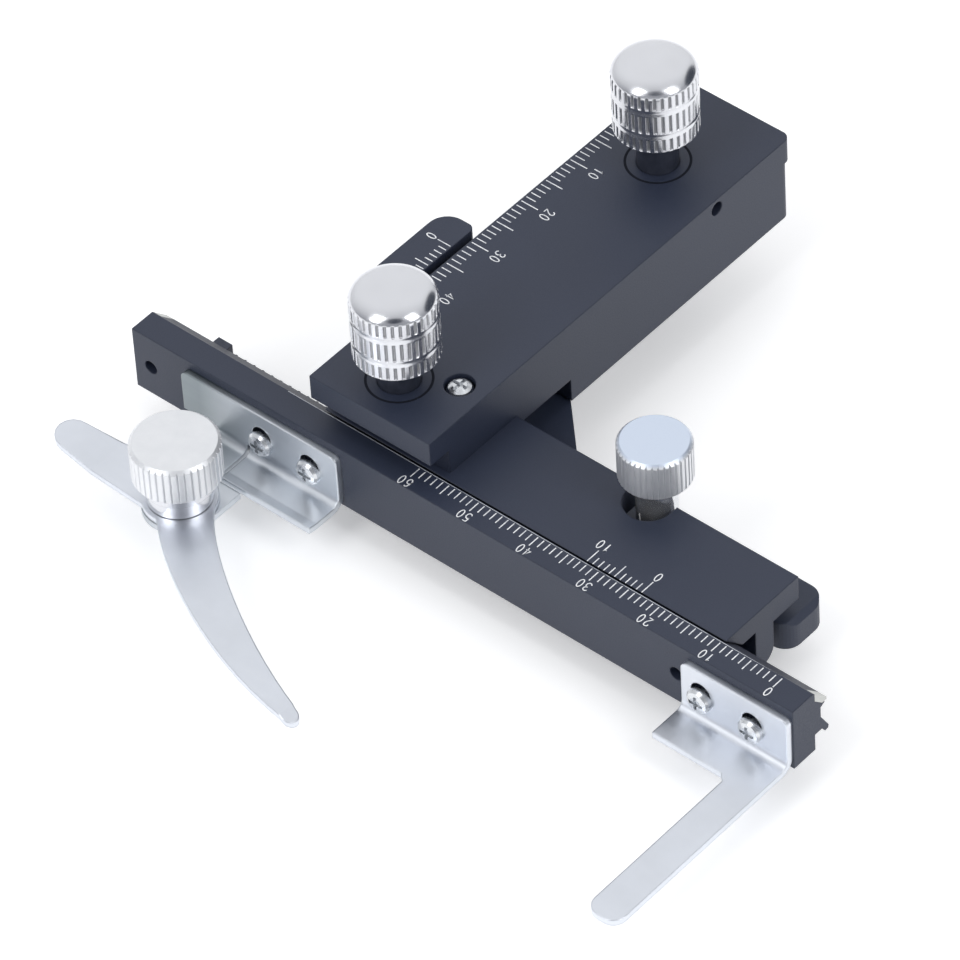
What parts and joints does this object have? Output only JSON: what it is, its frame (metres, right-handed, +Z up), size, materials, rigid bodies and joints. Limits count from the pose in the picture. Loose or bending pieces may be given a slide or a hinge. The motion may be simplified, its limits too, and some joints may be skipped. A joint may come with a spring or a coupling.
{
  "type": "mechanical microscope stage",
  "caption": "Attachable X-Y stage for a microscope: dovetail carriage and sliding bar on racks with knurled knobs, scales, and a fixed and a hinged slide finger.",
  "frame": {"origin": "axis of the thumbscrew, on the plane that the base plate sits on", "axes": "+X along the bar to the right, +Y to the rear along the rail, +Z up along the thumbscrew"},
  "size_m": [0.1122, 0.1097, 0.0417],
  "materials": {
    "black": "black anodised, matt",
    "steel": "ground steel",
    "rack": "darkened steel",
    "screw": "nickel plated",
    "satin": "satin",
    "shaft": "blackened steel",
    "nickel": "polished nickel",
    "sheet": "bright zinc plated"
  },
  "bodies": {
    "base": {"base_plate": "black", "y_rail": "steel", "y_rack": "rack", "y_rack_screws": "screw", "rail_screws": "screw", "y_vernier_arm": "black", "arm_screws": "screw", "locating_pins": "steel"},
    "thumbscrew": {"thumbscrew": "satin"},
    "carriage": {"y_carriage": "black", "x_guide": "black", "guide_screws": "screw", "x_bush": "black", "y_bush": "black", "side_set_screw": "screw"},
    "x_drive": {"x_shaft": "shaft", "x_knob": "nickel"},
    "y_drive": {"y_shaft": "shaft", "y_knob": "nickel"},
    "bar": {"x_bar": "black", "x_slide_strip": "steel", "x_rack": "rack", "x_rack_screws": "screw", "left_bracket": "sheet", "right_bracket": "sheet", "bracket_screws": "screw", "pivot_stud": "steel", "pivot_collar": "nickel", "lever_spring": "steel"},
    "lever": {"finger_lever": "sheet"},
    "pivot_nut": {"pivot_knob": "satin"}
  },
  "joints": [
    {"name": "thumbscrew_turn", "type": "hinge", "parent": "base", "child": "thumbscrew", "pos_m": [0, 0, 0], "axis": [0, 0, 1], "continuous": true},
    {"name": "y_slide", "type": "slide", "parent": "base", "child": "carriage", "axis": [0, 1, 0], "range_m": [-0.0323, 0.001]},
    {"name": "y_knob_turn", "type": "hinge", "parent": "carriage", "child": "y_drive", "pos_m": [-0.0343, 0.0418, 0.02], "axis": [0, 0, 1], "range_deg": [-824, 27]},
    {"name": "x_slide", "type": "slide", "parent": "carriage", "child": "bar", "axis": [1, 0, 0], "range_m": [-0.0234, 0.0265]},
    {"name": "x_knob_turn", "type": "hinge", "parent": "carriage", "child": "x_drive", "pos_m": [-0.0343, -0.01016, 0.02], "axis": [0, 0, 1], "range_deg": [-597, 676]},
    {"name": "lever_pivot", "type": "hinge", "parent": "bar", "child": "lever", "pos_m": [-0.0541, -0.0321, 0.002], "axis": [0, 0, 1], "range_deg": [-35, 0], "stiffness_Nm_per_rad": 0.05, "springref_deg": 20.05},
    {"name": "pivot_knob_turn", "type": "hinge", "parent": "bar", "child": "pivot_nut", "pos_m": [-0.0541, -0.0321, 0.01], "axis": [0, 0, 1], "continuous": true}
  ],
  "couplings": [
    {"joint": "y_knob_turn", "follows": "y_slide", "rad_per_m": 444.44},
    {"joint": "x_knob_turn", "follows": "x_slide", "rad_per_m": 444.44}
  ]
}
